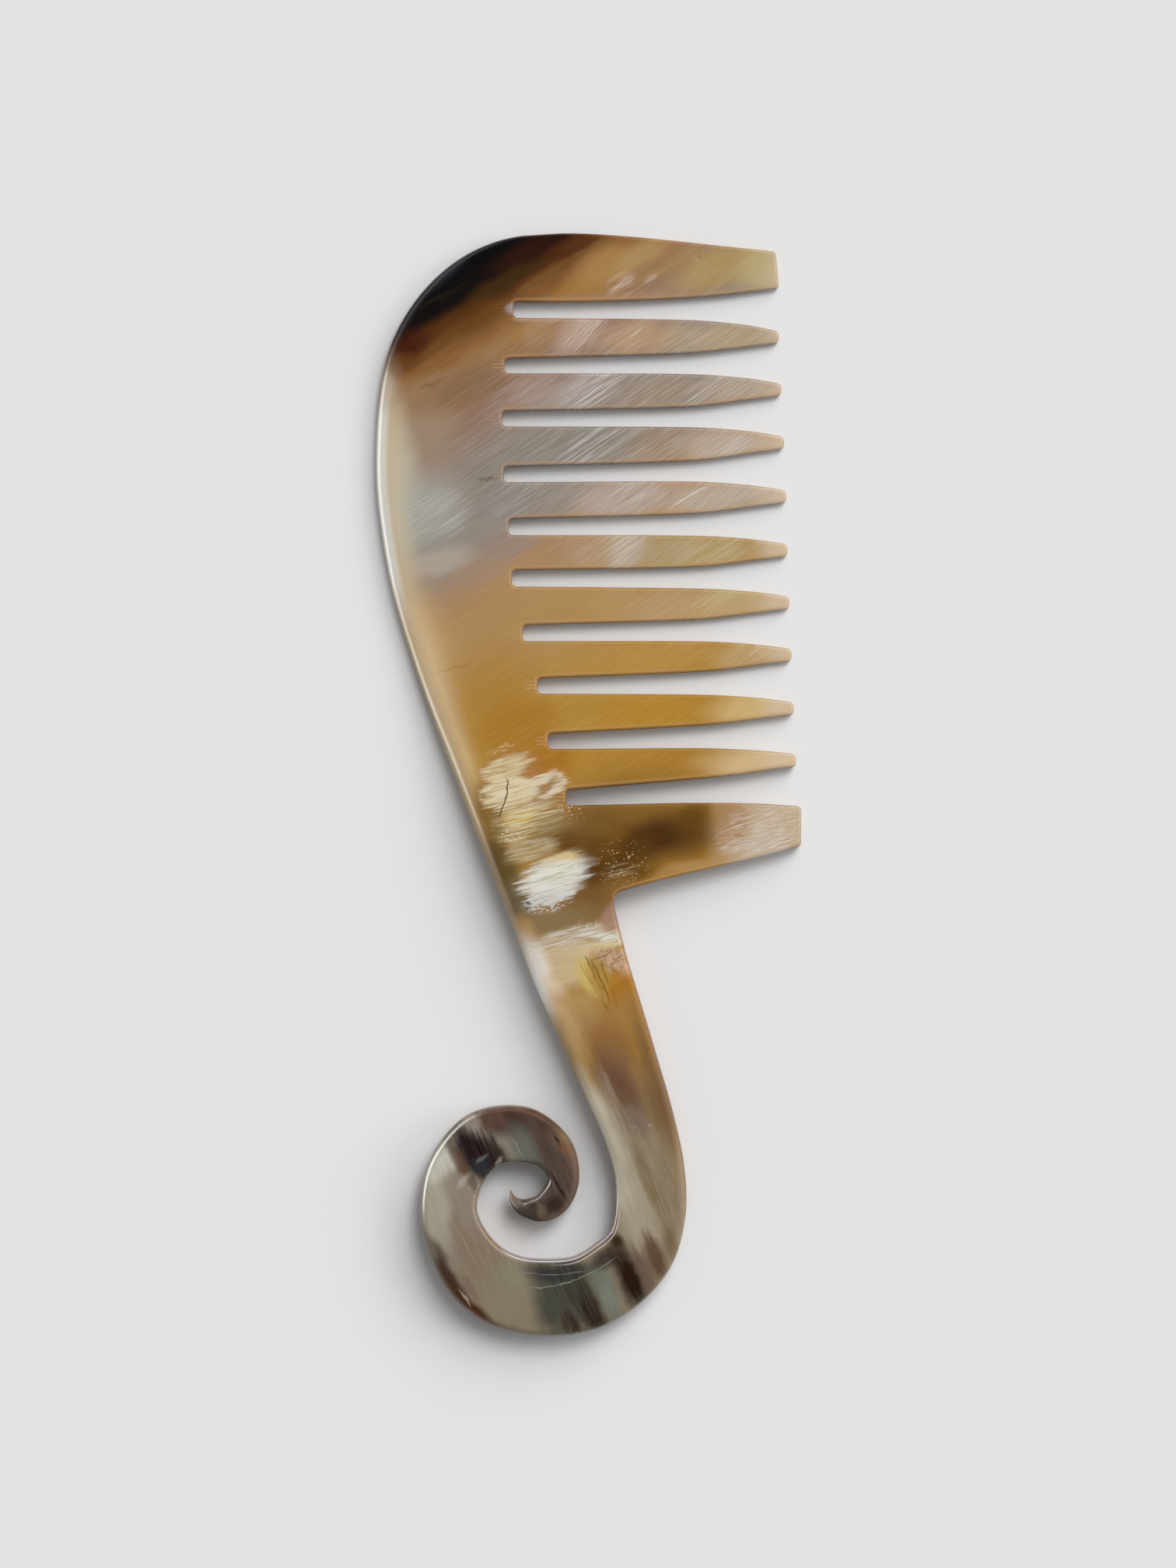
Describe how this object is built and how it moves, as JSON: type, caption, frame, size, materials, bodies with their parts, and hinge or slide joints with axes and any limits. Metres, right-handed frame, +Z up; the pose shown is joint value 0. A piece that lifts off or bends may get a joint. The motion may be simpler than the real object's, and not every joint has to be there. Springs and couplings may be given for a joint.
{
  "type": "horn comb",
  "caption": "Flat wide-toothed comb of polished horn, with a rounded back and a long tapering handle that ends in an open spiral curl with a pointed hook.",
  "frame": {"origin": "middle of the outline's bounding box, on the underside that the comb rests on", "axes": "+X towards the tips of the teeth, +Y from the curl towards the top of the comb, +Z up through the plate's thickness"},
  "size_m": [0.0684, 0.1773, 0.0052],
  "materials": {
    "horn": "polished natural horn, semi-gloss, with dark, amber, grey and cream zones and fine fibres"
  },
  "bodies": {
    "root": {"comb": "horn"}
  },
  "joints": []
}
